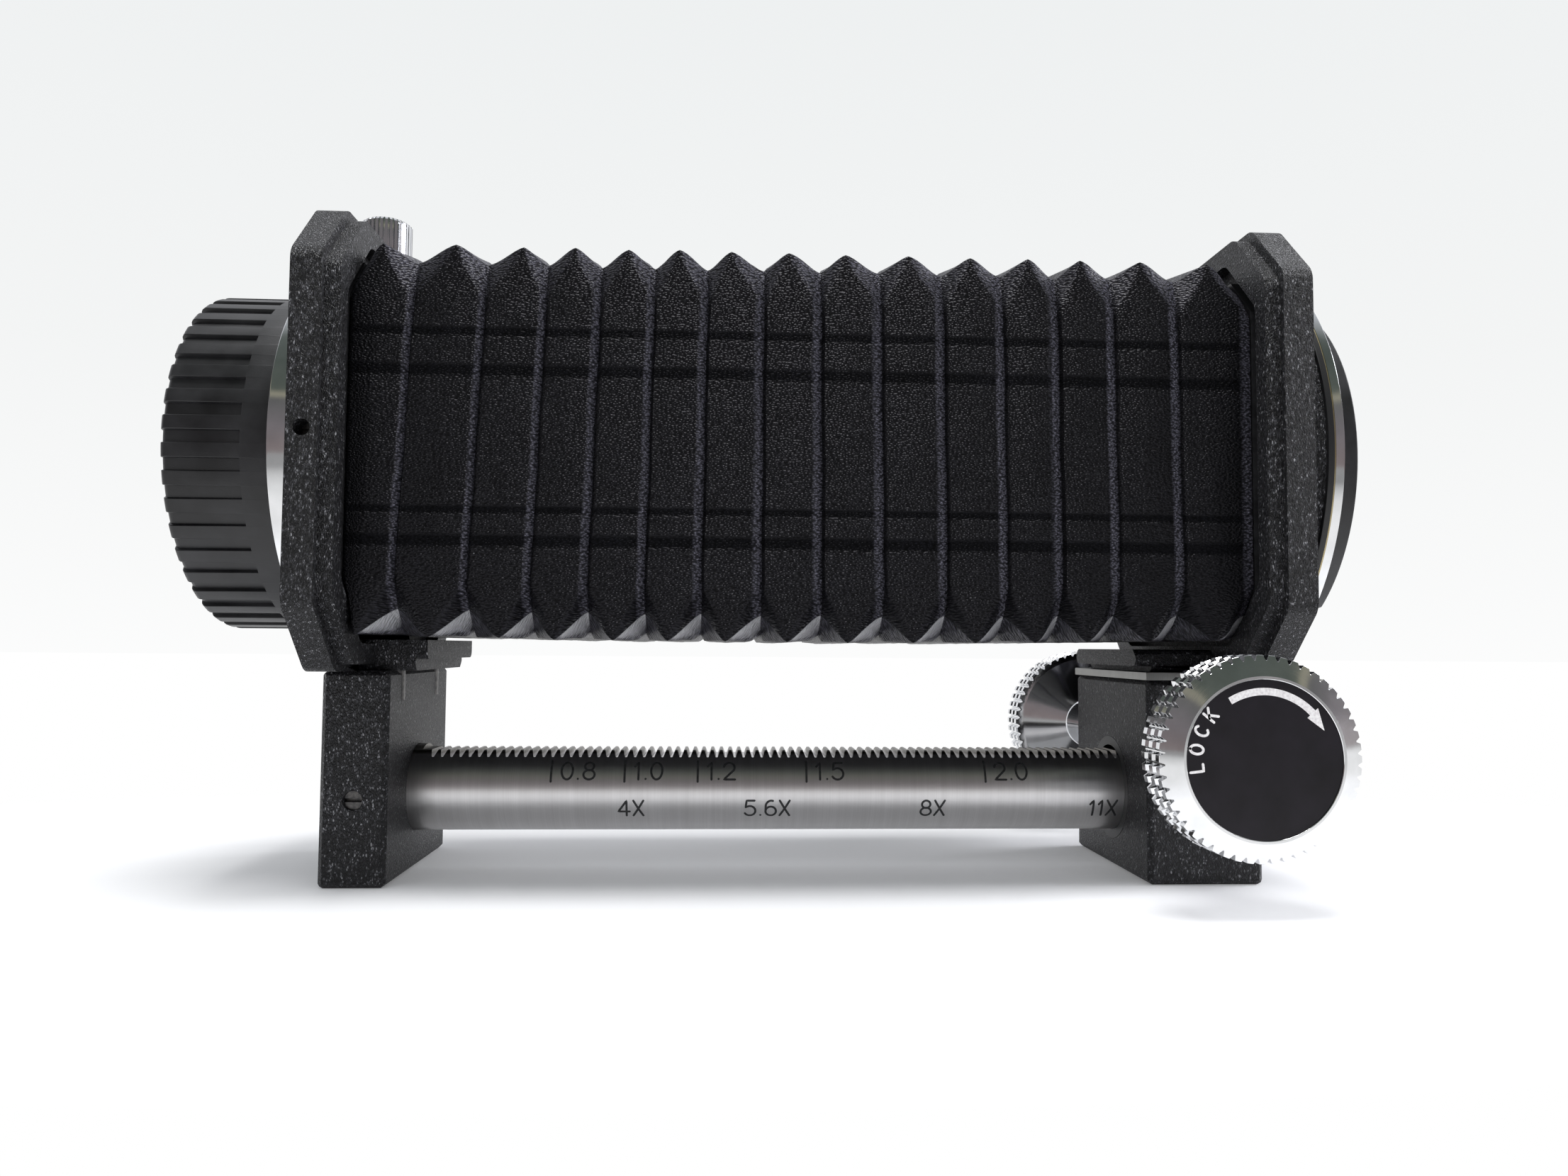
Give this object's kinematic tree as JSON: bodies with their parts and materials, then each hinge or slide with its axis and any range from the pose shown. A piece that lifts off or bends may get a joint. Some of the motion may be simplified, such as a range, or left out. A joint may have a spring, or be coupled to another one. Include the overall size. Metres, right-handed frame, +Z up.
{
  "type": "macro bellows unit",
  "caption": "Macro bellows on a round toothed rail, with a turning camera ring, a geared lens standard, chrome focusing and clamp knobs and two caps.",
  "frame": {"origin": "middle of the rear foot's underside", "axes": "+X along the rail from the camera end to the lens end, +Z up, the clamp knob on the -Y side"},
  "size_m": [0.1482, 0.0702, 0.0915],
  "materials": {
    "crackle_black": "black crackle enamel",
    "frame_black": "satin black enamel",
    "bellows_cloth": "grained bellows cloth",
    "chrome": "polished chrome",
    "rail_steel": "ground steel",
    "screw_steel": "blackened steel",
    "cap_plastic": "satin moulded plastic",
    "sleeve_plastic": "plain black",
    "cover_metal": "black face with bare edges",
    "disc_black": "satin black with white paint",
    "shaft_steel": "turned steel",
    "bearing_bronze": "turned bronze"
  },
  "bodies": {
    "rear_frame": {"rear_foot": "crackle_black", "rear_standard": "crackle_black", "rear_shelf_screws": "screw_steel", "rail": "rail_steel", "rail_set_screw": "screw_steel", "rear_bellows_frame": "frame_black", "rear_frame_screws": "screw_steel", "bellows": "bellows_cloth", "ring_grub_screws": "screw_steel"},
    "camera_ring": {"camera_ring": "chrome"},
    "lock": {"lock_screw": "chrome"},
    "rear_cap": {"rear_cap": "cap_plastic"},
    "carriage": {"front_block": "crackle_black", "block_cover": "cover_metal", "rail_sleeves": "sleeve_plastic", "front_standard": "crackle_black", "front_shelf_screws": "screw_steel", "front_bellows_frame": "frame_black", "front_frame_screws": "screw_steel", "lens_ring": "chrome", "lens_ring_screws": "screw_steel", "focus_bearing": "bearing_bronze", "clamp_bearing": "bearing_bronze"},
    "body_cap": {"body_cap": "cap_plastic"},
    "focus_drive": {"pinion_shaft": "shaft_steel", "focus_knob": "chrome", "focus_knob_disc": "disc_black", "focus_knob_grub": "screw_steel"},
    "clamp": {"clamp_knob": "chrome", "clamp_knob_disc": "disc_black", "clamp_stud": "shaft_steel", "clamp_pad": "bearing_bronze"}
  },
  "joints": [
    {"name": "focus_slide", "type": "slide", "parent": "rear_frame", "child": "carriage", "axis": [1, 0, 0], "range_m": [-0.08, 0], "deforming": ["bellows"]},
    {"name": "focus_knob_turn", "type": "hinge", "parent": "carriage", "child": "focus_drive", "pos_m": [0.10895, 0, 0.0185], "axis": [0, 1, 0], "range_deg": [-1920, 0]},
    {"name": "clamp_turn", "type": "hinge", "parent": "carriage", "child": "clamp", "pos_m": [0.10895, 0, 0.0185], "axis": [0, 1, 0], "range_deg": [-90, 0]},
    {"name": "camera_ring_turn", "type": "hinge", "parent": "rear_frame", "child": "camera_ring", "pos_m": [-0.00215, 0, 0.0561], "axis": [1, 0, 0], "continuous": true},
    {"name": "lock_screw_turn", "type": "hinge", "parent": "rear_frame", "child": "lock", "pos_m": [-0.00215, 0, 0.0861], "axis": [0, 0, 1], "range_deg": [0, 180]},
    {"name": "rear_cap_off", "type": "slide", "parent": "camera_ring", "child": "rear_cap", "axis": [-1, 0, 0], "range_m": [0, 0.03]},
    {"name": "body_cap_off", "type": "slide", "parent": "carriage", "child": "body_cap", "axis": [1, 0, 0], "range_m": [0, 0.03]}
  ],
  "couplings": [
    {"joint": "focus_knob_turn", "follows": "focus_slide", "rad_per_m": 416.67}
  ]
}
